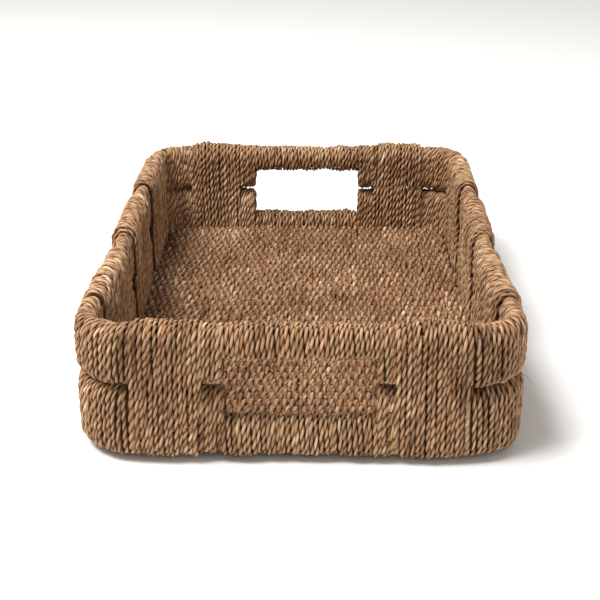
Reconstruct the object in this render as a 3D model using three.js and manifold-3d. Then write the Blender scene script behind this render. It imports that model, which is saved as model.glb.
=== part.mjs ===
// A cord-wound bread basket: an open oblong tray with rounded corners and a carrying hole at each end.
//
// An iron wire frame holds the shape. Bundles of rush fill it out to an upper and a lower rail, and twisted
// rush cord is wound round each rail. Ten wider bands of the same cord are wound over both rails and tie
// them together, and a woven mat rests on cross wires as the floor.
//
// Millimetres, +Z up, X across, Y along the basket. The origin is under the middle, on the resting plane.

import * as THREE from 'three';
import { mergeVertices } from 'three/addons/utils/BufferGeometryUtils.js';
import Module from 'manifold-3d';

// Driving dimensions
const LENGTH = 465; // over the bands, along Y
const WIDTH = 303; // over the bands, along X
const HEIGHT = 97; // over the bands
const CORD = 4; // one layer of wound cord
const GAP = 0.3; // between touching pieces

const END_DEPTH = 24; // from the outer to the inner face of the rails, along a short end
const SIDE_DEPTH = 15; // the same along a long side; the rails narrow round the corners
const RAIL_FLAT = 1; // width of the flat on top of a rail along a long side
const RAIL_CORNER = 40; // outer corner radius of the rails, seen from above
const LOWER_RAIL = { bottom: 3, top: 51.5 };
const UPPER_RAIL = { bottom: 54.5, top: 94 };
const HANDLE = { bottom: 71, top: 94 }; // round bar over the carrying hole
const SILL = { bottom: 3, top: 29.5 }; // low rail under the carrying hole
const HOLE_HALF = 48.5; // half the carrying hole's width

const END_BAND = { from: 60, to: 110.5 }; // |x| of a band on a short end
const SIDE_BANDS = [-120, 8, 136]; // y of the middles of the bands on a long side
const SIDE_BAND_WIDTH = 98;
const SIDE_JOINT = 120; // |y| where a side's winding meets the corners', inside the outer bands
const BAND_CLEARANCE = 0.6; // round the rails inside a band, for the start of the corner
const BAND_EASE = 1; // how much tighter a band's edges are rounded than a cord laid over the rail's

const WIRE = 4; // diameter of the ring wires
const STRUT = 3; // diameter of the upright struts and the floor wires
const TUNNEL_WALL = 0.5; // the least rush between a wire's tunnel and the winding
const RIM_WIRE_Z = 82.5;
const UPPER_MID_WIRE_Z = 64.5;
const LOWER_MID_WIRE_Z = 39;
const BASE_WIRE_Z = 13.5;
const STRUT_ENDS = { bottom: 8.5, top: 88 };
const FLOOR_WIRE_Z = 9.7;
const FLOOR_WIRE_YS = [-150, -60, 60, 150];

const MAT = { bottom: 11.5, top: 18 };

// Worked out from them
const RAIL_FACE_X = WIDTH / 2 - CORD;
const RAIL_FACE_Y = LENGTH / 2 - CORD;
const SECTION_RADIUS = (SIDE_DEPTH - RAIL_FLAT) / 2; // of the rails' rounded edges
const CORE_INSET = CORD + GAP;
const WIRE_INSET = CORE_INSET + TUNNEL_WALL + GAP + WIRE / 2; // from the rails' outer face
const STRUT_INSET = WIRE_INSET + WIRE / 2 + GAP + STRUT / 2;
const END_BAND_MIDDLE = (END_BAND.from + END_BAND.to) / 2;
const ARC_STEPS = 6;
const CORNER_X = RAIL_FACE_X - RAIL_CORNER; // |x| of the middles of the rounded corners
const CORNER_Y = RAIL_FACE_Y - RAIL_CORNER;

const rushCord = new THREE.MeshStandardMaterial({ color: 0x9a7654, roughness: 0.85, metalness: 0 });
const rushMat = new THREE.MeshStandardMaterial({ color: 0x8d6b4c, roughness: 0.9, metalness: 0 });
const rushBundle = new THREE.MeshStandardMaterial({ color: 0xa98d62, roughness: 0.95, metalness: 0 });
const ironWire = new THREE.MeshStandardMaterial({ color: 0x26231f, roughness: 0.55, metalness: 0.6 });

const wasm = await Module();
wasm.setup();

const basket = new THREE.Group();

// ---- Routes round the basket ----

// A level route through given stations, each a point and the direction of travel there. Its sections keep
// their y axis upright.
class LevelRoute extends THREE.Curve {
  constructor(stations) {
    super();
    this.stations = stations;
  }

  getSpacedPoints() {
    return this.stations.map((station) => station.point);
  }

  computeFrenetFrames() {
    const up = new THREE.Vector3(0, 0, 1);
    const tangents = this.stations.map((station) => station.tangent);
    const normals = tangents.map((tangent) => new THREE.Vector3().crossVectors(up, tangent));
    return { tangents, normals, binormals: tangents.map(() => up) };
  }
}

// Where a route passes corner 0 to 3, counter-clockwise from the front right one. Inset is the distance
// from the rails' outer face.
function cornerStations(corner, inset, z) {
  const signX = corner < 2 ? 1 : -1;
  const signY = corner === 1 || corner === 2 ? 1 : -1;
  const centreX = signX * CORNER_X;
  const centreY = signY * CORNER_Y;
  const radius = RAIL_CORNER - inset;
  const stations = [];
  for (let step = 0; step <= ARC_STEPS; step += 1) {
    const angle = (corner - 1 + step / ARC_STEPS) * (Math.PI / 2);
    stations.push({
      point: new THREE.Vector3(centreX + radius * Math.cos(angle), centreY + radius * Math.sin(angle), z),
      tangent: new THREE.Vector3(-Math.sin(angle), Math.cos(angle), 0),
    });
  }
  return stations;
}

// A route from a start point, round the listed corners, to an end point.
function route(start, corners, end, inset, z) {
  const stations = corners.flatMap((corner) => cornerStations(corner, inset, z));
  const first = new THREE.Vector3(start[0], start[1], z);
  const last = new THREE.Vector3(end[0], end[1], z);
  const nextPoint = stations.length ? stations[0].point : last;
  const previousPoint = stations.length ? stations[stations.length - 1].point : first;
  stations.unshift({ point: first, tangent: nextPoint.clone().sub(first).normalize() });
  stations.push({ point: last, tangent: last.clone().sub(previousPoint).normalize() });
  return new LevelRoute(stations);
}

function sweep(section, path) {
  return new THREE.ExtrudeGeometry(section, {
    steps: path.stations.length - 1,
    extrudePath: path,
    curveSegments: 1,
  });
}

// Narrows a swept rail along the long sides, and gradually round the corners, by moving the points of its
// inner half outwards. Its centre line has to be half an end's depth inside the outer face.
function narrow(geometry) {
  const places = geometry.attributes.position;
  for (let index = 0; index < places.count; index += 1) {
    const x = places.getX(index);
    const y = places.getY(index);
    const overX = Math.max(Math.abs(x) - CORNER_X, 0);
    const overY = Math.max(Math.abs(y) - CORNER_Y, 0);
    const reach = Math.hypot(overX, overY);
    if (overX > 0 && reach < RAIL_CORNER - END_DEPTH / 2) {
      const sideShare = (overX / reach) ** 2;
      const move = ((END_DEPTH - SIDE_DEPTH) * sideShare) / reach;
      places.setX(index, x + Math.sign(x) * overX * move);
      places.setY(index, y + Math.sign(y) * overY * move);
    }
  }
  return geometry;
}

// ---- Sections ----

// Draws a rectangle with round corners about a centre, as an outline or as a hole.
function drawRounded(path, width, height, radius, centreX = 0, centreY = 0) {
  const x = width / 2 - radius;
  const y = height / 2 - radius;
  path.absarc(centreX + x, centreY - y, radius, -Math.PI / 2, 0, false);
  path.absarc(centreX + x, centreY + y, radius, 0, Math.PI / 2, false);
  path.absarc(centreX - x, centreY + y, radius, Math.PI / 2, Math.PI, false);
  path.absarc(centreX - x, centreY - y, radius, Math.PI, Math.PI * 1.5, false);
  path.closePath();
  return path;
}

function tubeSection(width, height, radius, wall) {
  const section = drawRounded(new THREE.Shape(), width, height, radius);
  section.holes.push(drawRounded(new THREE.Path(), width - 2 * wall, height - 2 * wall, radius - wall));
  return section;
}

function roundSection(diameter) {
  return drawRounded(new THREE.Shape(), diameter, diameter, diameter / 2);
}

// ---- Cutting ----

function toSolid(geometry) {
  const plain = geometry.index ? geometry.toNonIndexed() : geometry.clone();
  plain.deleteAttribute('normal');
  plain.deleteAttribute('uv');
  const merged = mergeVertices(plain, 1e-4);
  const vertProperties = new Float32Array(merged.attributes.position.array);
  const triVerts = new Uint32Array(merged.index.array);
  return new wasm.Manifold(new wasm.Mesh({ numProp: 3, vertProperties, triVerts }));
}

function fromSolid(solid) {
  const mesh = solid.getMesh();
  const indexed = new THREE.BufferGeometry();
  indexed.setAttribute('position', new THREE.BufferAttribute(new Float32Array(mesh.vertProperties), 3));
  indexed.setIndex(new THREE.BufferAttribute(new Uint32Array(mesh.triVerts), 1));
  const geometry = indexed.toNonIndexed();
  geometry.computeVertexNormals();
  return geometry;
}

function cut(geometry, cutters) {
  const solid = cutters.reduce((rest, cutter) => rest.subtract(cutter), toSolid(geometry));
  return fromSolid(solid);
}

function addMesh(name, geometry, material) {
  const mesh = new THREE.Mesh(geometry, material);
  mesh.name = name;
  basket.add(mesh);
  return mesh;
}

// ---- Wire frame ----

// A closed ring of wire, butted with a hairline gap in the middle of the right side.
function addRingWire(name, z) {
  const x = RAIL_FACE_X - WIRE_INSET;
  const path = route([x, GAP / 2], [1, 2, 3, 0], [x, -GAP / 2], WIRE_INSET, z);
  addMesh(name, sweep(roundSection(WIRE), path), ironWire);
}

// A wire along one long side and round its two corners, which stops at the carrying holes.
function addMidWires(name, z) {
  const y = RAIL_FACE_Y - WIRE_INSET;
  const end = HOLE_HALF + 2 * CORD;
  const right = route([end, -y], [0, 1], [end, y], WIRE_INSET, z);
  addMesh(`${name}_right`, sweep(roundSection(WIRE), right), ironWire);
  const left = route([-end, y], [2, 3], [-end, -y], WIRE_INSET, z);
  addMesh(`${name}_left`, sweep(roundSection(WIRE), left), ironWire);
}

// The middle of each band: its name, its place on the rails' centre line, and the way out of the basket.
function bandPlaces() {
  const places = [];
  for (const [side, signX] of [['left', -1], ['right', 1]]) {
    for (const [end, signY] of [['front', -1], ['back', 1]]) {
      places.push({
        name: `${end}_${side}`,
        face: new THREE.Vector2(signX * END_BAND_MIDDLE, signY * RAIL_FACE_Y),
        outward: new THREE.Vector2(0, signY),
        depth: END_DEPTH,
        width: END_BAND.to - END_BAND.from,
      });
    }
    for (const y of SIDE_BANDS) {
      const part = ['front', 'middle', 'back'][SIDE_BANDS.indexOf(y)];
      places.push({
        name: `side_${side}_${part}`,
        face: new THREE.Vector2(signX * RAIL_FACE_X, y),
        outward: new THREE.Vector2(signX, 0),
        depth: SIDE_DEPTH,
        width: SIDE_BAND_WIDTH,
      });
    }
  }
  return places;
}

function uprightRod(diameter, bottom, top) {
  const rod = new THREE.CylinderGeometry(diameter / 2, diameter / 2, top - bottom, 8);
  rod.rotateX(Math.PI / 2);
  return rod;
}

function crossRod(diameter, length) {
  const rod = new THREE.CylinderGeometry(diameter / 2, diameter / 2, length, 8);
  rod.rotateZ(Math.PI / 2);
  return rod;
}

// Adds the struts, and returns the channels that they need through what they pass.
function addStruts(places) {
  const { bottom, top } = STRUT_ENDS;
  const middle = (bottom + top) / 2;
  return places.map((place) => {
    const at = place.face.clone().addScaledVector(place.outward, -STRUT_INSET);
    const strut = addMesh(`strut_${place.name}`, uprightRod(STRUT, bottom, top), ironWire);
    strut.position.set(at.x, at.y, middle);
    const channel = uprightRod(STRUT + 2 * GAP, bottom - GAP, top + GAP);
    return toSolid(channel.translate(at.x, at.y, middle));
  });
}

// Adds the wires under the floor, which run from one base wire to the other, and returns their channels.
function addFloorWires() {
  const length = 2 * (RAIL_FACE_X - WIRE_INSET);
  return FLOOR_WIRE_YS.map((y, index) => {
    const wire = addMesh(`floor_wire_${index + 1}`, crossRod(STRUT, length), ironWire);
    wire.position.set(0, y, FLOOR_WIRE_Z);
    const channel = crossRod(STRUT + 2 * GAP, length + 2 * GAP);
    return toSolid(channel.translate(0, y, FLOOR_WIRE_Z));
  });
}

// ---- Cores: the rush bundles inside the rails, with a tunnel for each wire ----

function coreSection(rail, wireHeights) {
  const height = rail.top - rail.bottom - 2 * CORE_INSET;
  const width = END_DEPTH - 2 * CORE_INSET;
  const section = drawRounded(new THREE.Shape(), width, height, SECTION_RADIUS - CORE_INSET);
  const middle = (rail.top + rail.bottom) / 2;
  const tunnel = WIRE + 2 * GAP;
  const side = END_DEPTH / 2 - WIRE_INSET;
  for (const z of wireHeights) {
    section.holes.push(drawRounded(new THREE.Path(), tunnel, tunnel, tunnel / 2, -side, z - middle));
  }
  return section;
}

function addCores(channels) {
  const inset = END_DEPTH / 2;
  const y = RAIL_FACE_Y - inset;
  const start = HOLE_HALF + CORD + GAP;
  for (const [name, rail, heights] of [
    ['upper_core', UPPER_RAIL, [RIM_WIRE_Z, UPPER_MID_WIRE_Z]],
    ['lower_core', LOWER_RAIL, [BASE_WIRE_Z, LOWER_MID_WIRE_Z]],
  ]) {
    const z = (rail.top + rail.bottom) / 2;
    const section = coreSection(rail, heights);
    const right = narrow(sweep(section, route([start, -y], [0, 1], [start, y], inset, z)));
    addMesh(`${name}_right`, cut(right, channels), rushBundle);
    const left = narrow(sweep(section, route([-start, y], [2, 3], [-start, -y], inset, z)));
    addMesh(`${name}_left`, cut(left, channels), rushBundle);
  }
}

// ---- Wrappings ----

function wrapSection(rail, depth) {
  return tubeSection(depth, rail.top - rail.bottom, SECTION_RADIUS, CORD);
}

// The wound corner, from the block beside a carrying hole to its joint inside the first band on the side.
function cornerRoute(corner, z) {
  const inset = END_DEPTH / 2;
  const y = RAIL_FACE_Y - inset;
  const x = RAIL_FACE_X - inset;
  const sideEnd = SIDE_JOINT + GAP / 2;
  const signX = corner < 2 ? 1 : -1;
  const signY = corner === 1 || corner === 2 ? 1 : -1;
  const atHole = [signX * HOLE_HALF, signY * y];
  const atSide = [signX * x, signY * sideEnd];
  const startsAtHole = corner === 0 || corner === 2;
  return route(startsAtHole ? atHole : atSide, [corner], startsAtHole ? atSide : atHole, inset, z);
}

function addRailWraps(level, rail, channels) {
  const cornerSection = wrapSection(rail, END_DEPTH);
  const sideSection = wrapSection(rail, SIDE_DEPTH);
  const z = (rail.top + rail.bottom) / 2;
  const corners = ['front_right', 'back_right', 'back_left', 'front_left'];
  corners.forEach((name, corner) => {
    const wrap = narrow(sweep(cornerSection, cornerRoute(corner, z)));
    addMesh(`${level}_wrap_${name}`, cut(wrap, channels), rushCord);
  });
  const end = SIDE_JOINT - GAP / 2;
  for (const [side, signX] of [['left', -1], ['right', 1]]) {
    const inset = SIDE_DEPTH / 2;
    const x = signX * (RAIL_FACE_X - inset);
    const wrap = sweep(sideSection, route([x, -end], [], [x, end], inset, z));
    addMesh(`${level}_wrap_side_${side}`, cut(wrap, channels), rushCord);
  }
}

// The bar over or the sill under each carrying hole: a wound tube with a core round the one wire.
function addHoleRail(name, rail, wireZ) {
  const z = (rail.top + rail.bottom) / 2;
  const half = HOLE_HALF - GAP;
  const inset = END_DEPTH / 2;
  for (const [end, signY] of [['front', -1], ['back', 1]]) {
    const y = signY * (RAIL_FACE_Y - inset);
    const path = route([signY * half, y], [], [-signY * half, y], inset, z);
    addMesh(`${name}_wrap_${end}`, sweep(wrapSection(rail, END_DEPTH), path), rushCord);
    addMesh(`${name}_core_${end}`, sweep(coreSection(rail, [wireZ]), path), rushBundle);
  }
}

function bandSection(depth) {
  const radius = SECTION_RADIUS + CORD - BAND_EASE;
  const section = drawRounded(new THREE.Shape(), depth + 2 * CORD, HEIGHT, radius);
  const inside = drawRounded(
    new THREE.Path(),
    depth + 2 * BAND_CLEARANCE,
    UPPER_RAIL.top - LOWER_RAIL.bottom + 2 * GAP,
    SECTION_RADIUS,
    0,
    (UPPER_RAIL.top + LOWER_RAIL.bottom - HEIGHT) / 2,
  );
  section.holes.push(inside);
  return section;
}

// A band wound over both rails: an upright sleeve, open at its two ends.
function addBands(places, channels) {
  for (const place of places) {
    const inset = place.depth / 2;
    const centre = place.face.clone().addScaledVector(place.outward, -inset);
    const along = new THREE.Vector2(-place.outward.y, place.outward.x).multiplyScalar(place.width / 2);
    const start = centre.clone().sub(along);
    const end = centre.clone().add(along);
    const path = route([start.x, start.y], [], [end.x, end.y], inset, HEIGHT / 2);
    const sleeve = sweep(bandSection(place.depth), path);
    addMesh(`band_${place.name}`, cut(sleeve, channels), rushCord);
  }
}

// ---- Floor ----

// The mat fills the floor between the rails, with a notch where each band comes down the wall.
function addFloorMat(places) {
  const reachX = RAIL_CORNER - SIDE_DEPTH - GAP;
  const reachY = RAIL_CORNER - END_DEPTH - GAP;
  const quarter = Math.PI / 2;
  const outline = new THREE.Shape();
  outline.absellipse(CORNER_X, -CORNER_Y, reachX, reachY, -quarter, 0, false);
  outline.absellipse(CORNER_X, CORNER_Y, reachX, reachY, 0, quarter, false);
  outline.absellipse(-CORNER_X, CORNER_Y, reachX, reachY, quarter, 2 * quarter, false);
  outline.absellipse(-CORNER_X, -CORNER_Y, reachX, reachY, 2 * quarter, 3 * quarter, false);
  outline.closePath();
  const mat = new THREE.ExtrudeGeometry(outline, {
    depth: MAT.top - MAT.bottom,
    bevelEnabled: false,
    curveSegments: ARC_STEPS / 2,
  });
  mat.translate(0, 0, MAT.bottom);
  const notches = places.map((place) => {
    const depth = place.depth + 2 * CORD + GAP;
    const across = place.width + 2 * GAP;
    const centre = place.face.clone().addScaledVector(place.outward, CORD - depth / 2);
    const size = place.outward.x ? [depth, across] : [across, depth];
    const block = new THREE.BoxGeometry(size[0], size[1], HEIGHT);
    return toSolid(block.translate(centre.x, centre.y, 0));
  });
  addMesh('floor_mat', cut(mat, notches), rushMat);
}

const places = bandPlaces();
addRingWire('rim_wire', RIM_WIRE_Z);
addRingWire('base_wire', BASE_WIRE_Z);
addMidWires('upper_mid_wire', UPPER_MID_WIRE_Z);
addMidWires('lower_mid_wire', LOWER_MID_WIRE_Z);
const strutChannels = addStruts(places);
const floorChannels = addFloorWires();
const channels = [...strutChannels, ...floorChannels];
addCores(channels);
addRailWraps('lower', LOWER_RAIL, channels);
addRailWraps('upper', UPPER_RAIL, channels);
addHoleRail('handle', HANDLE, RIM_WIRE_Z);
addHoleRail('sill', SILL, BASE_WIRE_Z);
addBands(places, floorChannels);
addFloorMat(places);

export default basket;
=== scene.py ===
# A bread basket of twisted rush cord: the cord is wound round a stuffed wire frame, and the floor is a
# woven mat. Metres, +Z up, the basket's length along Y, in the same frame as its solid model.

import math

import bmesh
import bpy
import numpy as np
from mathutils import Matrix, Vector


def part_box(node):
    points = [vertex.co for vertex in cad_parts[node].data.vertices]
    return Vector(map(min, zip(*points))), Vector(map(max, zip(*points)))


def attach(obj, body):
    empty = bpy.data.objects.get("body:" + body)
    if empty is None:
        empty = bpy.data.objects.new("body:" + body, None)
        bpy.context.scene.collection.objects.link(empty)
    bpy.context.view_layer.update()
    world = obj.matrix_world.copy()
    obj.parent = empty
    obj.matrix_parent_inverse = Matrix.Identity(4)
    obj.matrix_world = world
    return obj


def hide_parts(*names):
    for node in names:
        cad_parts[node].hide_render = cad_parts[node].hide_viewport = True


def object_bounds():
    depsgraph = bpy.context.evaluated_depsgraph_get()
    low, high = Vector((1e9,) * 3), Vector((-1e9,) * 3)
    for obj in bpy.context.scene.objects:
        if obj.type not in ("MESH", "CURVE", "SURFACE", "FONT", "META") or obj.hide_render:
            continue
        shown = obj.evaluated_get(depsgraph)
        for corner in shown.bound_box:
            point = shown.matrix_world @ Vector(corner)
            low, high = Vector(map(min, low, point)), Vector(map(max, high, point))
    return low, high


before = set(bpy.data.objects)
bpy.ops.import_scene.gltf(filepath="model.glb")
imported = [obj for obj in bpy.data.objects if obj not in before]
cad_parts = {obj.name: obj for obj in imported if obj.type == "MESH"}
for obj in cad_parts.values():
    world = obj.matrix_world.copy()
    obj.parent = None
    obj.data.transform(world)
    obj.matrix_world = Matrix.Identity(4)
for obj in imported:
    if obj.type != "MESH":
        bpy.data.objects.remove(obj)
solid_low, solid_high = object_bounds()


# ---------------------------------------------------------------------------
# Studio
# A pale sheet of paper under soft lamps. The camera looks down the length of
# the basket from a little above one short end.

camera_place = (0.012, -0.9423, 0.4062)
camera_pitch = 0.386
camera_yaw = -0.016
camera_roll = -0.001
camera_lens = 74.7

camera_data = bpy.data.cameras.new("studio_camera")
camera_data.lens = camera_lens
camera_data.sensor_width = 36
camera = bpy.data.objects.new("studio_camera", camera_data)
camera.matrix_world = (
    Matrix.Translation(camera_place)
    @ Matrix.Rotation(-camera_yaw, 4, "Z")
    @ Matrix.Rotation(math.pi / 2 - camera_pitch, 4, "X")
    @ Matrix.Rotation(camera_roll, 4, "Z")
)
bpy.context.scene.collection.objects.link(camera)
bpy.context.scene.camera = camera
bpy.context.scene.view_settings.view_transform = "Standard"

paper = bpy.data.materials.new("pale_paper")
paper.use_nodes = True
paper_shader = paper.node_tree.nodes["Principled BSDF"]
paper_shader.inputs["Base Color"].default_value = (0.86, 0.85, 0.83, 1)
paper_shader.inputs["Roughness"].default_value = 0.9

paper_radius = 6
paper_mesh = bpy.data.meshes.new("paper_sheet")
paper_bm = bmesh.new()
bmesh.ops.create_circle(paper_bm, cap_ends=True, radius=paper_radius, segments=64)
paper_bm.to_mesh(paper_mesh)
paper_bm.free()
paper_mesh.materials.append(paper)
paper_sheet = bpy.data.objects.new("paper_sheet", paper_mesh)
bpy.context.scene.collection.objects.link(paper_sheet)

studio_air = bpy.data.worlds.new("studio_air")
studio_air.use_nodes = True
air_light = studio_air.node_tree.nodes["Background"]
air_light.inputs["Color"].default_value = (1.0, 0.98, 0.95, 1)
air_light.inputs["Strength"].default_value = 0.5
bpy.context.scene.world = studio_air


def add_lamp(name, place, target, size, power):
    """A square soft lamp, turned to face its target."""
    lamp_data = bpy.data.lights.new(name, "AREA")
    lamp_data.size = size
    lamp_data.energy = power
    lamp = bpy.data.objects.new(name, lamp_data)
    aim = Vector(target) - Vector(place)
    lamp.matrix_world = Matrix.Translation(place) @ aim.to_track_quat("-Z", "Y").to_matrix().to_4x4()
    bpy.context.scene.collection.objects.link(lamp)


add_lamp("top_lamp", (-0.9, -0.3, 2.0), target=(0, 0, 0), size=1.1, power=82)
add_lamp("front_lamp", (0.5, -1.9, 1.0), target=(0, -0.2, 0.05), size=1.4, power=4)


# ---------------------------------------------------------------------------
# Rush cord
# Two plies of dry rush twisted together. Each ply is a bundle of leaf strips,
# so it is streaked along its length and changes colour now and then.

cord_width = 0.0038
cord_lay = 0.0150
cord_step = 0.0017
twist_wander = 0.22  # in turns
fullness_wander = 0.09


def ply_outline(angles, offset):
    """The outline of two plies pressed side by side, one metre wide, at the given angles.

    Offset is the distance of each ply's middle from the cord's.
    """
    radius = 0.5 - offset
    points = []
    for angle in angles:
        across = abs(math.sin(angle)) * offset
        reach = abs(math.cos(angle)) * offset + math.sqrt(radius**2 - across**2)
        points.append((reach * math.cos(angle), reach * math.sin(angle), 0, 1))
    return points


def cord_profile(name, lobe_points, offset):
    """A curve to sweep as the cord's section, and the angle of each of its points."""
    half_turn = np.radians(np.linspace(90, -90, lobe_points + 2))[:-1]
    angles = np.concatenate([half_turn, half_turn + math.pi])
    curve = bpy.data.curves.new(name, "CURVE")
    curve.dimensions = "2D"
    spline = curve.splines.new("POLY")
    spline.points.add(len(angles) - 1)
    spline.points.foreach_set("co", np.ravel(ply_outline(angles, offset)))
    spline.use_cyclic_u = True
    profile = bpy.data.objects.new(name, curve)
    bpy.context.scene.collection.objects.link(profile)
    return profile, angles


def wander(count, reach, amount, rng):
    """Smooth random values, one for each of count points, that change over about reach points."""
    knots = rng.normal(0, amount, count // reach + 4)
    rough = np.interp(np.arange(count + 2 * reach) / reach, np.arange(len(knots)), knots)
    window = np.hanning(reach + 2)[1:-1]
    return np.convolve(rough, window / window.sum(), "same")[reach : reach + count]


def even_points(line, step):
    """The line again, with its points an even step apart."""
    lengths = np.linalg.norm(np.diff(line[:, :3], axis=0), axis=1)
    along = np.concatenate([[0], np.cumsum(lengths)])
    places = np.linspace(0, along[-1], max(3, round(along[-1] / step)))
    columns = [np.interp(places, along, line[:, column]) for column in range(line.shape[1])]
    return np.column_stack(columns), places


def lay_cord(name, lines, section, width, lay, step, seed):
    """One piece of twisted cord along each line, as a mesh with the cord's own coordinates.

    A line's columns are its points, the way out of what it is wound on, and how full the cord is there.
    The strand attribute holds the place along the cord in metres and the direction round it, and the
    facing attribute is 1 on the cord's outermost side and -1 on the side that it rests on.
    """
    profile, angles = section
    rng = np.random.default_rng(seed)
    curve = bpy.data.curves.new(name, "CURVE")
    curve.dimensions = "3D"
    curve.bevel_mode = "OBJECT"
    curve.bevel_object = profile
    strands = []
    rings = []
    for line in lines:
        laid, places = even_points(line, step)
        rings.append(laid)
        count = len(laid)
        spline = curve.splines.new("POLY")
        spline.points.add(count - 1)
        spline.points.foreach_set("co", np.column_stack([laid[:, :3], np.ones(count)]).ravel())
        turns = places / lay + rng.random() + wander(count, 12, twist_wander, rng)
        spline.points.foreach_set("tilt", turns * 2 * math.pi)
        thickness = width * laid[:, 6] * (1 + wander(count, 6, fullness_wander, rng))
        spline.points.foreach_set("radius", thickness)
        start = rng.uniform(0, 40)
        around = np.column_stack([np.cos(angles), np.sin(angles)])
        strand_places = np.repeat(start + places, len(angles))
        strands.append(np.column_stack([strand_places, np.tile(around, (count, 1))]))
    swept = bpy.data.objects.new(name, curve)
    bpy.context.scene.collection.objects.link(swept)
    graph = bpy.context.evaluated_depsgraph_get()
    mesh = bpy.data.meshes.new_from_object(swept.evaluated_get(graph))
    mesh.name = name
    strand = mesh.attributes.new("strand", "FLOAT_VECTOR", "POINT")
    strand.data.foreach_set("vector", np.concatenate(strands).ravel())
    rings = np.repeat(np.concatenate(rings), len(angles), axis=0)
    corners = np.empty(len(rings) * 3)
    mesh.vertices.foreach_get("co", corners)
    reach = (corners.reshape(-1, 3) - rings[:, :3]) / (rings[:, 6:] * width / 2)
    facing = mesh.attributes.new("facing", "FLOAT", "POINT")
    facing.data.foreach_set("value", (reach * rings[:, 3:6]).sum(axis=1))
    bpy.data.objects.remove(swept)
    bpy.data.curves.remove(curve)
    bm = bmesh.new()
    bm.from_mesh(mesh)
    open_edges = [edge for edge in bm.edges if edge.is_boundary]
    bmesh.ops.holes_fill(bm, edges=open_edges, sides=0)
    if bm.calc_volume(signed=True) < 0:
        bmesh.ops.reverse_faces(bm, faces=bm.faces)
    bm.to_mesh(mesh)
    bm.free()
    mesh.shade_smooth()
    piece = bpy.data.objects.new(name, mesh)
    bpy.context.scene.collection.objects.link(piece)
    return piece


def value_node(tree, operation, first, second=None):
    """The result of a Math node on values or sockets."""
    node = tree.nodes.new("ShaderNodeMath")
    node.operation = operation
    for index, value in enumerate((first, second)):
        if value is None:
            continue
        if isinstance(value, (int, float)):
            node.inputs[index].default_value = value
        else:
            tree.links.new(value, node.inputs[index])
    return node.outputs["Value"]


def range_node(tree, value, from_low, from_high, to_low, to_high):
    """A value eased smoothly from one range into another."""
    node = tree.nodes.new("ShaderNodeMapRange")
    node.interpolation_type = "SMOOTHSTEP"
    for key, number in (
        ("From Min", from_low),
        ("From Max", from_high),
        ("To Min", to_low),
        ("To Max", to_high),
    ):
        node.inputs[key].default_value = number
    tree.links.new(value, node.inputs["Value"])
    return node.outputs["Result"]


def noise_node(tree, vector, scale, detail, roughness):
    """Smooth noise between 0 and 1 at the given coordinates."""
    node = tree.nodes.new("ShaderNodeTexNoise")
    node.inputs["Scale"].default_value = scale
    node.inputs["Detail"].default_value = detail
    node.inputs["Roughness"].default_value = roughness
    tree.links.new(vector, node.inputs["Vector"])
    return node.outputs["Fac"]


def combine_node(tree, *values):
    """A vector of three values or sockets."""
    node = tree.nodes.new("ShaderNodeCombineXYZ")
    for index, value in enumerate(values):
        if isinstance(value, (int, float)):
            node.inputs[index].default_value = value
        else:
            tree.links.new(value, node.inputs[index])
    return node.outputs["Vector"]


def ramp_node(tree, value, stops):
    """The colour that a value has between stops, each a position and a colour."""
    node = tree.nodes.new("ShaderNodeValToRGB")
    elements = node.color_ramp.elements
    while len(elements) < len(stops):
        elements.new(0.5)
    for element, (position, colour) in zip(elements, stops):
        element.position = position
        element.color = (*colour, 1)
    tree.links.new(value, node.inputs["Fac"])
    return node.outputs["Color"]


def multiply_node(tree, colour, other):
    """The product of two colours."""
    node = tree.nodes.new("ShaderNodeMix")
    node.data_type = "RGBA"
    node.blend_type = "MULTIPLY"
    node.inputs["Factor"].default_value = 1
    tree.links.new(colour, node.inputs["A"])
    tree.links.new(other, node.inputs["B"])
    return node.outputs["Result"]


rush_tones = [
    (0.30, (0.15, 0.075, 0.034)),
    (0.40, (0.32, 0.180, 0.095)),
    (0.50, (0.43, 0.253, 0.140)),
    (0.60, (0.53, 0.340, 0.195)),
    (0.70, (0.78, 0.580, 0.390)),
]
strip_hues = [
    (0.36, (1.04, 0.93, 0.88)),
    (0.50, (1.0, 1.0, 1.0)),
    (0.64, (0.93, 0.99, 0.92)),
]
tones_per_metre = 16
streaks_per_metre = 130
strips_per_metre = 7
streaks_across = 7
ply_difference = 5.3  # how far apart in the noise the two plies' tones are
patches_per_metre = 14
patch_strength = 0.45
depth_powers = (1.22, 1.45)  # powers of the painted shade's green and blue, which turn the painted dips redder


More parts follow.
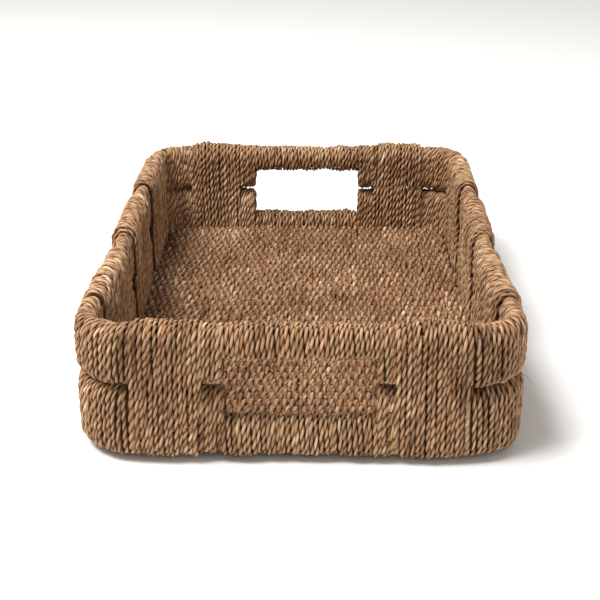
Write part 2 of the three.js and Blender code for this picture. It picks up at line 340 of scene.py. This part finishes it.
def make_fibre_group():
    """Dry rush fibre in a cord's own coordinates: tones, streaks along the ply, and painted shade in the
    crease between the plies and on the side that the cord rests on.
    """
    group = bpy.data.node_groups.new("rush_fibre", "ShaderNodeTree")
    interface = group.interface
    interface.new_socket("Strand", in_out="INPUT", socket_type="NodeSocketVector")
    interface.new_socket("Facing", in_out="INPUT", socket_type="NodeSocketFloat")
    interface.new_socket("Place", in_out="INPUT", socket_type="NodeSocketVector")
    interface.new_socket("Tint", in_out="INPUT", socket_type="NodeSocketColor")
    interface.new_socket("Painted Resting Shade", in_out="INPUT", socket_type="NodeSocketFloat")
    interface.new_socket("Color", in_out="OUTPUT", socket_type="NodeSocketColor")
    interface.new_socket("Roughness", in_out="OUTPUT", socket_type="NodeSocketFloat")
    interface.new_socket("Height", in_out="OUTPUT", socket_type="NodeSocketFloat")
    given = group.nodes.new("NodeGroupInput")
    result = group.nodes.new("NodeGroupOutput")
    split = group.nodes.new("ShaderNodeSeparateXYZ")
    group.links.new(given.outputs["Strand"], split.inputs["Vector"])
    along, across, around = split.outputs

    ply = range_node(group, across, -0.15, 0.15, 0, 1)
    tone_at = combine_node(
        group,
        value_node(group, "MULTIPLY", along, tones_per_metre),
        value_node(group, "MULTIPLY", ply, ply_difference),
        0,
    )
    tone = noise_node(group, tone_at, 1, 3, 0.65)
    patch = noise_node(group, given.outputs["Place"], patches_per_metre, 2, 0.5)
    patch = value_node(group, "MULTIPLY", value_node(group, "SUBTRACT", patch, 0.5), patch_strength)
    colour = ramp_node(group, value_node(group, "ADD", tone, patch), rush_tones)

    streak_at = combine_node(
        group,
        value_node(group, "MULTIPLY", along, streaks_per_metre),
        value_node(group, "MULTIPLY", across, streaks_across),
        value_node(group, "MULTIPLY", around, streaks_across),
    )
    streak = noise_node(group, streak_at, 1, 3, 0.65)
    shade = range_node(group, streak, 0.3, 0.7, 0.5, 1.3)
    # Painted shade: the cord is darker in the crease between its two plies.
    crease_shade = range_node(group, value_node(group, "ABSOLUTE", across), 0.0, 0.5, 0.28, 1)
    depth = value_node(group, "MULTIPLY", shade, crease_shade)
    # Painted shade: the cord is darker on the side that it rests on, between neighbouring turns.
    resting_side_shade = range_node(group, given.outputs["Facing"], 0.05, 0.95, 1, 0)
    resting_side_shade = value_node(group, "MULTIPLY", resting_side_shade, given.outputs["Painted Resting Shade"])
    depth = value_node(group, "MULTIPLY", depth, value_node(group, "SUBTRACT", 1.1, resting_side_shade))
    # The painted shade in the dips is made redder.
    redder = [value_node(group, "POWER", depth, power) for power in depth_powers]
    colour = multiply_node(group, colour, combine_node(group, depth, *redder))

    strip_at = combine_node(group, value_node(group, "MULTIPLY", along, strips_per_metre), 0, 0)
    strip = ramp_node(group, noise_node(group, strip_at, 1, 3, 0.7), strip_hues)
    colour = multiply_node(group, colour, strip)
    colour = multiply_node(group, colour, given.outputs["Tint"])
    group.links.new(colour, result.inputs["Color"])
    group.links.new(range_node(group, streak, 0.3, 0.7, 0.9, 0.68), result.inputs["Roughness"])
    group.links.new(streak, result.inputs["Height"])
    return group


rush_fibre = make_fibre_group()


def make_rush(name, tint, relief, painted_resting_shade):
    """A rush material in which the fibre group sets the colour, the roughness and a fine relief.

    The last argument is painted shade: how much darker the cord is painted on the side that it rests on,
    from 0 to 1.
    """
    material = bpy.data.materials.new(name)
    material.use_nodes = True
    tree = material.node_tree
    shader = tree.nodes["Principled BSDF"]
    shader.inputs["Specular IOR Level"].default_value = 0.25
    strand = tree.nodes.new("ShaderNodeAttribute")
    strand.attribute_name = "strand"
    facing = tree.nodes.new("ShaderNodeAttribute")
    facing.attribute_name = "facing"
    place = tree.nodes.new("ShaderNodeTexCoord")
    fibre = tree.nodes.new("ShaderNodeGroup")
    fibre.node_tree = rush_fibre
    fibre.inputs["Tint"].default_value = (*tint, 1)
    # Painted shade on the side that the cord rests on.
    fibre.inputs["Painted Resting Shade"].default_value = painted_resting_shade
    tree.links.new(strand.outputs["Vector"], fibre.inputs["Strand"])
    tree.links.new(facing.outputs["Fac"], fibre.inputs["Facing"])
    tree.links.new(place.outputs["Object"], fibre.inputs["Place"])
    tree.links.new(fibre.outputs["Color"], shader.inputs["Base Color"])
    tree.links.new(fibre.outputs["Roughness"], shader.inputs["Roughness"])
    bump = tree.nodes.new("ShaderNodeBump")
    bump.inputs["Strength"].default_value = 0.8
    bump.inputs["Distance"].default_value = relief
    tree.links.new(fibre.outputs["Height"], bump.inputs["Height"])
    tree.links.new(bump.outputs["Normal"], shader.inputs["Normal"])
    return material


cord_section = cord_profile("cord_section", lobe_points=4, offset=0.21)
cord_rush = make_rush("wound_rush", tint=(1.0, 1.0, 1.0), relief=0.0005, painted_resting_shade=0.72)


# ---------------------------------------------------------------------------
# Wound rails
# The upper and the lower rail of the wall. Cord is wound tight round a stuffed
# core, from the block beside each carrying hole, round the corner and along the side.

rail_corner = 0.040
rail_pitch = 0.0032  # from turn to turn
corner_pitch = 0.0028
section_corner = 0.0095
cord_seat = 0.0029  # how much smaller than the solid the loop of the cord's middle is
winding_step = 0.0016
closing_shrink = 0.0036  # how much tighter each turn over the end of a core is
settling_turns = 1.6  # how many turns from its ends a settled winding is level again
turn_start = 0.62  # where on the section a winding starts, in turns from the foot of the outer face
quick_sway = 0.00035  # unevenness along the rail within a turn
slow_sway = 0.00025  # and over a few turns
quick_lift = 0.0003  # unevenness away from the rail within a turn
slow_lift = 0.0005  # and over a few turns
tuck = 0.004  # how far the open windings reach under the bands
swell = 0.0014  # the corners' winding bulges into the slit between the rails
side_slimming = 0.002  # how much thinner the rails are wound between the bands of a side
splay_at = [-0.23, -0.185, -0.15, -0.10, -0.06, -0.015, 0.06, 0.13, 0.23]
splay = [0.0018, 0.0008, -0.0008, -0.0032, -0.0033, -0.0006, 0.0002, 0.0008, 0.0010]

sides = {"left": -1, "right": 1}
corner_places = {
    "back_right": (1, 1),
    "back_left": (-1, 1),
    "front_left": (-1, -1),
    "front_right": (1, -1),
}
wall_low, wall_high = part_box("upper_wrap_front_left")
rail_face_x = -wall_low[0]
rail_face_y = -wall_low[1]
hole_half = -wall_high[0]
bar_low, bar_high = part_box("handle_wrap_front")
rail_depth = bar_high[1] - bar_low[1]
side_low, side_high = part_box("upper_wrap_side_right")
side_narrowing = rail_depth - (side_high[0] - side_low[0])
end_band_low, end_band_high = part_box("band_back_right")
side_parts = ("front", "middle", "back")
side_bands = [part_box(f"band_side_right_{part}") for part in side_parts]

centre_x = rail_face_x - rail_depth / 2
centre_y = rail_face_y - rail_depth / 2
bend = rail_corner - rail_depth / 2
straight_x = centre_x - bend
straight_y = centre_y - bend
corner_arc = bend * math.pi / 2
quarter = straight_y + corner_arc + straight_x  # from the middle of a side to the middle of an end


def rail_line(places):
    """Points on the rails' centre line and the way out from them.

    A place is the distance from the middle of the right side, counter-clockwise, so along the straight
    part of that side it is the same as y.
    """
    folded = np.mod(places, 4 * quarter)
    points = np.zeros((len(places), 2))
    outward = np.zeros((len(places), 2))
    for index, place in enumerate(folded):
        half = int(place // (2 * quarter))
        rest = place - half * 2 * quarter
        mirrored = rest > quarter
        if mirrored:
            rest = 2 * quarter - rest
        if rest < straight_y:
            x, y, nx, ny = centre_x, rest, 1, 0
        elif rest < straight_y + corner_arc:
            angle = (rest - straight_y) / bend
            nx, ny = math.cos(angle), math.sin(angle)
            x, y = straight_x + bend * nx, straight_y + bend * ny
        else:
            x, y, nx, ny = straight_x - (rest - straight_y - corner_arc), centre_y, 0, 1
        if mirrored:
            x, nx = -x, -nx
        if half:
            x, y, nx, ny = -x, -y, -nx, -ny
        points[index] = x, y
        outward[index] = nx, ny
    return points, outward


def place_at_end(x):
    """The place on the centre line of a point on the back end."""
    return straight_y + corner_arc + (straight_x - x)


def oblong(turns, depth, height, corner):
    """A cord's way round an oblong section with round corners.

    It gives the cord's offsets outwards and upwards, and the direction that its outer side faces.
    """
    x, z = depth / 2 - corner, height / 2 - corner
    rounding = corner * math.pi / 2
    edges = np.cumsum([0, *[2 * z, rounding, 2 * x, rounding] * 2])
    distance = np.mod(turns, 1) * edges[-1]
    out, up, facing = np.zeros((3, len(turns)))
    corners = [(x, z), (-x, z), (-x, -z), (x, -z)]
    steps = [(0, 1), (-1, 0), (0, -1), (1, 0)]
    for leg in range(4):
        cx, cz = corners[leg]
        dx, dz = steps[leg]
        length = edges[2 * leg + 1] - edges[2 * leg]
        here = (distance >= edges[2 * leg]) & (distance < edges[2 * leg + 1])
        run = distance[here] - edges[2 * leg] - length
        out[here] = cx + dx * run + corner * dz
        up[here] = cz + dz * run - corner * dx
        facing[here] = leg * math.pi / 2
        here = (distance >= edges[2 * leg + 1]) & (distance <= edges[2 * leg + 2])
        angle = (distance[here] - edges[2 * leg + 1]) / corner + leg * math.pi / 2
        out[here] = cx + corner * np.cos(angle)
        up[here] = cz + corner * np.sin(angle)
        facing[here] = angle
    return out, up, facing


def side_share(place):
    """How much a place on the centre line belongs to a long side: 1 along the side, 0 along the end."""
    rest = np.mod(place, 2 * quarter)
    rest = np.minimum(rest, 2 * quarter - rest)
    return np.cos(np.clip((rest - straight_y) / bend, 0, math.pi / 2)) ** 2


def splay_shift(x, y):
    """How far the long sides bow in or out at a place, because the frame isn't quite straight."""
    return np.interp(y, splay_at, splay) * x / centre_x


def is_corner(place):
    """True where the centre line bends."""
    rest = place % (2 * quarter)
    rest = min(rest, 2 * quarter - rest)
    return straight_y < rest < straight_y + corner_arc


def turn_places(start, end):
    """Where each turn of a winding starts, closer together round a corner."""
    places = [start]
    while places[-1] < end:
        places.append(places[-1] + (corner_pitch if is_corner(places[-1]) else rail_pitch))
    return np.array(places) + (end - places[-1]) * np.linspace(0, 1, len(places))


def wind(places, depth, height, corner, bottom, top, seed, closed_end=0, settle=0):
    """The line of a cord wound once round the rail for each of the places, with a maker's unevenness.

    A closed end has that many extra turns, which shrink to cover the end of the core. Settle is how
    far the first and the last turn sink towards the rail.
    """
    rng = np.random.default_rng(seed)
    around = 2 * (depth + height - 4 * corner) + 2 * math.pi * corner
    per_turn = round(around / winding_step)
    places = np.concatenate([places, [places[-1]] * closed_end])
    turns = np.arange((len(places) - 1) * per_turn + 1) / per_turn
    along = np.interp(turns, np.arange(len(places)), places)
    inset = np.maximum(turns - (len(places) - 1 - closed_end), 0)
    near_edge = np.clip(settling_turns - np.minimum(turns, turns[-1] - turns), 0, 1)
    shrink = 2 * inset * closing_shrink + 2 * settle * near_edge
    count = len(turns)
    along = along + wander(count, 14, quick_sway, rng) + wander(count, 3 * per_turn, slow_sway, rng)
    out, up, facing = oblong(turns + turn_start, depth, height, corner)
    lift = wander(count, 11, quick_lift, rng) + wander(count, 2 * per_turn + 17, slow_lift, rng)
    out = out * (1 - shrink / depth) * (1 + lift / (depth / 2))
    narrowed = 1 - side_narrowing * side_share(along) / depth
    out = depth / 2 - narrowed * (depth / 2 - out)
    up = up * (1 - shrink / height) * (1 + lift / (height / 2))
    points, outward = rail_line(along)
    xy = points + outward * out[:, None]
    xy[:, 0] += splay_shift(xy[:, 0], xy[:, 1])
    away = outward * np.cos(facing)[:, None]
    return np.column_stack([xy, (bottom + top) / 2 + up, away, np.sin(facing), np.ones(count)])


def mirror_line(line, sign_x, sign_y):
    """The same line on another side of the basket, where a sign is -1."""
    return line * np.array([sign_x, sign_y, 1, sign_x, sign_y, 1, 1])


def finish_cord(piece, material, node):
    """Gives a cord piece its material and its body, and hides the solid that it stands for."""
    piece.data.materials.append(material)
    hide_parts(node)
    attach(piece, "root")


def add_winding(name, lines, seed, node):
    """A winding of the twisted cord, in place of the solid of the given name."""
    piece = lay_cord(name, lines, cord_section, cord_width, cord_lay, cord_step, seed)
    finish_cord(piece, cord_rush, node)


for level in ("upper", "lower"):
    low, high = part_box(f"{level}_wrap_back_right")
    wound_depth = rail_depth - cord_seat
    wound_height = high[2] - low[2] - cord_seat
    corner_span = (low[2] - swell, high[2]) if level == "upper" else (low[2], high[2] + swell)
    for index, (corner_name, (sign_x, sign_y)) in enumerate(corner_places.items()):
        seed = 100 + 10 * index + (level == "lower")
        band_edge = side_bands[2][1][1] if sign_y > 0 else -side_bands[0][0][1]
        corner_start = band_edge - tuck
        corner_end = place_at_end(end_band_high[0] - tuck)
        block_start = place_at_end(end_band_low[0] + tuck)
        block_end = place_at_end(hole_half + cord_width / 2)
        corner_line = wind(
            turn_places(corner_start, corner_end),
            wound_depth, wound_height + swell, section_corner, *corner_span, seed,
        )
        block_line = wind(
            turn_places(block_start, block_end),
            wound_depth, wound_height, section_corner, low[2], high[2], seed + 5, closed_end=2,
        )
        lines = [mirror_line(line, sign_x, sign_y) for line in (corner_line, block_line)]
        add_winding(f"{level}_winding_{corner_name}", lines, seed, f"{level}_wrap_{corner_name}")
    for side, sign_x in sides.items():
        seed = 200 + 10 * (sign_x + 1) + (level == "lower")
        lines = []
        for gap in (0, 1):
            start = side_bands[gap][1][1] - tuck
            end = side_bands[gap + 1][0][1] + tuck
            line = wind(
                turn_places(start, end),
                wound_depth - side_slimming, wound_height, section_corner, low[2], high[2], seed + gap,
            )
            lines.append(mirror_line(line, sign_x, 1))
        add_winding(f"{level}_winding_side_{side}", lines, seed, f"{level}_wrap_side_{side}")


# ---------------------------------------------------------------------------
# Rails inside the bands
# The rails' winding goes on under the bands. Hardly any of it can be seen, so
# its cord is drawn with a plain section and long steps.

hidden_step = 0.004
plain_section = cord_profile("plain_section", lobe_points=1, offset=0.05)
end_places = turn_places(place_at_end(end_band_high[0] - tuck), place_at_end(end_band_low[0] + tuck))


def add_hidden_winding(level, part, lines, seed):
    """The stretches of a rail's winding that its bands cover, in place of the same solid."""
    name = f"{level}_hidden_winding_{part}"
    piece = lay_cord(name, lines, plain_section, cord_width, cord_lay, hidden_step, seed)
    finish_cord(piece, cord_rush, f"{level}_wrap_{part}")


for level in ("upper", "lower"):
    low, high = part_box(f"{level}_wrap_back_right")
    hidden_size = (rail_depth - cord_seat, high[2] - low[2] - cord_seat, section_corner, low[2], high[2])
    for index, (corner_name, (sign_x, sign_y)) in enumerate(corner_places.items()):
        line = mirror_line(wind(end_places, *hidden_size, 250 + index), sign_x, sign_y)
        add_hidden_winding(level, corner_name, [line], 250)
    for side, sign_x in sides.items():
        lines = []
        for band_low, band_high in side_bands:
            places = turn_places(band_low[1] + tuck, band_high[1] - tuck)
            lines.append(mirror_line(wind(places, *hidden_size, 260), sign_x, 1))
        add_hidden_winding(level, f"side_{side}", lines, 260)


# ---------------------------------------------------------------------------
# Handle bars and sills
# Over each carrying hole the cord goes round the rim's single wire and its
# stuffing, and under the hole round the base wire's.

bar_rounding = {"handle": 0.0090, "sill": 0.0085}
bar_overhang = 0.0018  # how far a bar's winding goes on between the blocks beside it
ends = {"front": -1, "back": 1}

for bar, rounding in bar_rounding.items():
    for end_name, sign_y in ends.items():
        low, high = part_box(f"{bar}_wrap_{end_name}")
        places = turn_places(place_at_end(high[0] + bar_overhang), place_at_end(low[0] - bar_overhang))
        depth = rail_depth - cord_seat
        height = high[2] - low[2] - cord_seat
        seed = 300 + 10 * (bar == "sill") + sign_y
        line = wind(places, depth, height, rounding, low[2], high[2], seed)
        lines = [mirror_line(line, -sign_y, sign_y)]
        add_winding(f"{bar}_winding_{end_name}", lines, seed, f"{bar}_wrap_{end_name}")


# ---------------------------------------------------------------------------
# Bands
# Ten wide bands of the same cord, wound over both rails from top to bottom.
# They stand one cord proud and hold the two rails together.

band_corner = 0.0110
band_tight = 0.0032  # how much thinner a band is than its solid
band_press = 0.0011  # how far the cord under a band is pressed up by what it stands on
band_settle = 0.0016


def add_band(name, start, end, sign_x, sign_y, seed):
    """One band: turns side by side round both rails, between two places on the centre line."""
    bottom = end_band_low[2] + band_press
    top = end_band_high[2]
    depth = end_band_high[1] - end_band_low[1] - band_tight - cord_width
    height = top - bottom - cord_width
    places = turn_places(start, end)
    line = wind(places, depth, height, band_corner, bottom, top, seed, settle=band_settle)
    add_winding(f"band_winding_{name}", [mirror_line(line, sign_x, sign_y)], seed, f"band_{name}")


for side, sign_x in sides.items():
    for end_name, sign_y in ends.items():
        start = place_at_end(end_band_high[0] - cord_width / 2)
        end = place_at_end(end_band_low[0] + cord_width / 2)
        add_band(f"{end_name}_{side}", start, end, sign_x, sign_y, 400 + 10 * sign_x + sign_y)
    for index, (band_low, band_high) in enumerate(side_bands):
        start = band_low[1] + cord_width / 2
        end = band_high[1] - cord_width / 2
        add_band(f"side_{side}_{side_parts[index]}", start, end, sign_x, 1, 500 + 10 * sign_x + index)


# ---------------------------------------------------------------------------
# Loose ends
# Cut cord ends tucked between the turns, and single leaf fibres that have
# sprung out of the twist, about half on the rims and the rest on the walls.

fibre_count = 100
fibre_width = 0.00035
stub_count = 26
stub_width = 0.0016
stub_depth = 0.001
loose_lay = 0.02
loose_step = 0.0012
bow_points = 9
rim_lean = 0.6  # past this angle a spot is on a rim, and below it on a wall
wall_heights = (0.012, 0.08)
sill_height = 0.016
rim_height = solid_high[2] - 0.008
loose_rng = np.random.default_rng(900)


def sprung_line(root, heading, length, curl):
    """A short bowed line that starts at the root, with the columns that lay_cord needs."""
    heading = Vector(heading).normalized()
    side = heading.cross(Vector(loose_rng.normal(0, 1, 3))).normalized()
    steps = np.linspace(0, 1, bow_points)
    points = np.array([root + heading * length * t + side * curl * length * t * t for t in steps])
    fullness = 1 - 0.6 * steps
    return np.column_stack([points, np.tile(np.array(heading), (bow_points, 1)), fullness])


def wall_spot():
    """A random place on the outside of the walls or the rims, the way out there and the way along."""
    (middle,), (outward,) = rail_line(np.array([loose_rng.uniform(0, 4 * quarter)]))
    lean = loose_rng.uniform(-0.3, 1.5)
    on_wall = lean < rim_lean
    height = loose_rng.uniform(*wall_heights) if on_wall else rim_height
    if on_wall and abs(middle[0]) < hole_half:
        height = sill_height
    level = outward * math.cos(lean)
    point = Vector((*(middle + level * rail_depth / 2), height))
    return point, Vector((*level, math.sin(lean))), Vector((-outward[1], outward[0], 0))


fibre_lines = []
for _ in range(fibre_count):
    root, facing, along = wall_spot()
    heading = facing * loose_rng.uniform(0.15, 0.9) + along * loose_rng.normal(0, 0.8)
    heading += Vector((0, 0, loose_rng.normal(0, 0.5)))
    length = loose_rng.uniform(0.004, 0.010)
    fibre_lines.append(sprung_line(root, heading, length, loose_rng.uniform(0.3, 0.9)))
stub_lines = []
for _ in range(stub_count):
    root, facing, along = wall_spot()
    heading = facing * loose_rng.uniform(0.3, 0.7) + along * loose_rng.choice([-1, 1])
    length = loose_rng.uniform(0.004, 0.007)
    stub_lines.append(sprung_line(root - facing * stub_depth, heading, length, 0.25))
for name, lines, width in (("loose_fibres", fibre_lines, fibre_width), ("cut_ends", stub_lines, stub_width)):
    piece = lay_cord(name, lines, plain_section, width, loose_lay, loose_step, 910)
    piece.data.materials.append(cord_rush)
    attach(piece, "root")


# ---------------------------------------------------------------------------
# Floor mat
# Cords run along the basket, over one thin cross cord and under the next, and
# are packed so close that the cross cords show only in the pits.

mat_cord = 0.0038
mat_lay = 0.021
mat_pitch = 0.0028
cross_cord = 0.0024
cross_pitch = 0.0107
mat_step = 0.0018
mat_press = 0.0038  # how far the mat's edge is pushed in between the turns of the wall
long_spacing = 0.0012
long_sway = 0.0004
long_slide = 0.0009
long_fullness = 0.88
long_bulge = 0.42  # how much fuller a cord is where it passes over or under a cross cord
fullness_change = 0.10
wave_change = 0.2
shortest_stretch = 0.012
cross_spacing = 0.0015
cross_ripple = 0.0002
cross_bow = 0.0003
mat_low, mat_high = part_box("floor_mat")
mat_middle = (mat_low[2] + mat_high[2]) / 2
mat_wave = (mat_high[2] - mat_low[2] - mat_cord) / 2
mat_corner_y = rail_corner - rail_depth
mat_corner_x = mat_corner_y + side_narrowing
band_inner_x = side_bands[1][0][0] + mat_press
band_inner_y = end_band_low[1] + mat_press


def round_reach(offset, half_across, half_along, corner_across, corner_along):
    """How far the mat reaches at an offset from its middle line, before its round corner ends it."""
    over = (abs(offset) - half_across) / corner_across + 1
    return half_along - corner_along * (1 - math.sqrt(1 - min(max(over, 0), 1) ** 2))


def spans_beside_bands(reach, bands):
    """The stretches of -reach to reach that the bands leave free."""
    edges = [-reach, *[edge for band in bands for edge in band], reach]
    return list(zip(edges[::2], edges[1::2]))


mat_half_x = mat_high[0] - mat_cord / 2 + mat_press
mat_half_y = mat_high[1] + mat_press
side_band_spans = [(low[1], high[1]) for low, high in side_bands]
long_count = int(mat_half_x // mat_pitch)
long_lines = []
mat_rng = np.random.default_rng(700)
for number in range(-long_count, long_count + 1):
    x = number * mat_pitch
    reach = round_reach(x, mat_half_x, mat_half_y, mat_corner_x, mat_corner_y)
    if end_band_low[0] - mat_cord / 2 < abs(x) < end_band_high[0] + mat_cord / 2:
        reach = min(reach, band_inner_y - mat_cord / 2)
    spans = [(-reach, reach)]
    if abs(x) > band_inner_x - mat_cord / 2:
        spans = spans_beside_bands(reach, side_band_spans)
    for start, end in spans:
        if end - start < shortest_stretch:
            continue
        y = np.arange(start, end, long_spacing)
        wave = np.sin(math.pi * (y / cross_pitch + number + 0.5))
        z = mat_middle + wave * mat_wave * (1 + wander(len(y), 10, wave_change, mat_rng))
        sway = wander(len(y), 14, long_sway, mat_rng)
        slide = wander(len(y), 9, long_slide, mat_rng)
        level = np.zeros(len(y))
        fullness = long_fullness + long_bulge * wave**2 + wander(len(y), 8, fullness_change, mat_rng)
        columns = [x + sway, y + slide, z, level, level, np.sign(wave), fullness]
        long_lines.append(np.column_stack(columns))

cross_lines = []
cross_count = int(mat_half_y // cross_pitch)
for number in range(-cross_count, cross_count + 1):
    y = number * cross_pitch
    reach = round_reach(y, mat_half_y, mat_half_x, mat_corner_y, mat_corner_x)
    if any(start - mat_cord < y < end + mat_cord for start, end in side_band_spans):
        reach = min(reach, band_inner_x - mat_cord / 2)
    x = np.arange(-reach, reach, cross_spacing)
    ripple = np.sin(math.pi * (x / mat_pitch + number)) * cross_ripple
    level = np.zeros(len(x))
    bow = y + wander(len(x), 20, cross_bow, mat_rng)
    columns = [x, bow, mat_middle + ripple, level, level, level + 1, level + 1]
    cross_lines.append(np.column_stack(columns))

mat_section = cord_profile("mat_section", lobe_points=3, offset=0.13)
mat_rush = make_rush("woven_rush", tint=(0.71, 0.67, 0.64), relief=0.0003, painted_resting_shade=0.50)
left_lines = [line for line in long_lines if line[0, 0] < 0]
right_lines = [line for line in long_lines if line[0, 0] >= 0]
for name, lines, width in (
    ("mat_long_cords_left", left_lines, mat_cord),
    ("mat_long_cords_right", right_lines, mat_cord),
    ("mat_cross_cords", cross_lines, cross_cord),
):
    piece = lay_cord(name, lines, mat_section, width, mat_lay, mat_step, 710 + len(lines))
    finish_cord(piece, mat_rush, "floor_mat")


# ---------------------------------------------------------------------------
# Cores
# Loose bundles of rush stalks laid round the wires. Only their shadowed
# surface shows, deep between the turns of cord. Their colour is painted shade,
# much darker than the rush of the cord.

stuffing = bpy.data.materials.new("stuffing_painted_shade")
stuffing.use_nodes = True
stuffing_tree = stuffing.node_tree
stuffing_shader = stuffing_tree.nodes["Principled BSDF"]
stuffing_shader.inputs["Roughness"].default_value = 0.95
stuffing_place = stuffing_tree.nodes.new("ShaderNodeTexCoord").outputs["Object"]
stuffing_tone = noise_node(stuffing_tree, stuffing_place, 300, 3, 0.6)
# Painted shade: the stuffing is coloured far darker than rush, so the gaps between the turns look shaded.
stuffing_shade_colour = ramp_node(
    stuffing_tree, stuffing_tone, [(0.3, (0.05, 0.028, 0.014)), (0.7, (0.13, 0.078, 0.042))]
)
stuffing_tree.links.new(stuffing_shade_colour, stuffing_shader.inputs["Base Color"])

weld_distance = 0.000001
core_nodes = {name: node for name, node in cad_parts.items() if "_core" in name}
for node_name, node_object in core_nodes.items():
    core_bm = bmesh.new()
    core_bm.from_mesh(node_object.data)
    bmesh.ops.remove_doubles(core_bm, verts=core_bm.verts, dist=weld_distance)
    for y in splay_at:
        whole = [*core_bm.verts, *core_bm.edges, *core_bm.faces]
        bmesh.ops.bisect_plane(core_bm, geom=whole, plane_co=(0, y, 0), plane_no=(0, 1, 0))
    for vertex in core_bm.verts:
        vertex.co.x += splay_shift(vertex.co.x, vertex.co.y)
    core_mesh = bpy.data.meshes.new(f"stuffed_{node_name}")
    core_bm.to_mesh(core_mesh)
    core_bm.free()
    core_mesh.materials.append(stuffing)
    core = bpy.data.objects.new(f"stuffed_{node_name}", core_mesh)
    bpy.context.scene.collection.objects.link(core)
    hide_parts(node_name)
    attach(core, "root")


# ---------------------------------------------------------------------------
# Wire frame
# Iron wires with a thin coat of dark paint, bent round and spot welded before
# the winding starts.

wire_paint = bpy.data.materials.new("painted_wire")
wire_paint.use_nodes = True
wire_tree = wire_paint.node_tree
wire_shader = wire_tree.nodes["Principled BSDF"]
wire_place = wire_tree.nodes.new("ShaderNodeTexCoord").outputs["Object"]
wire_wear = noise_node(wire_tree, wire_place, 120, 4, 0.6)
wire_colour = ramp_node(
    wire_tree, wire_wear, [(0.35, (0.012, 0.011, 0.010)), (0.75, (0.045, 0.032, 0.024))]
)
wire_tree.links.new(wire_colour, wire_shader.inputs["Base Color"])
wire_tree.links.new(range_node(wire_tree, wire_wear, 0.3, 0.7, 0.35, 0.6), wire_shader.inputs["Roughness"])

for node_name, node_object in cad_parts.items():
    if "wire" in node_name or node_name.startswith("strut"):
        node_object.data.materials.clear()
        node_object.data.materials.append(wire_paint)


# ---------------------------------------------------------------------------
# Clean-up
# The outlines that the cords were swept along are taken away.

for profile, _ in (cord_section, plain_section, mat_section):
    bpy.data.objects.remove(profile)
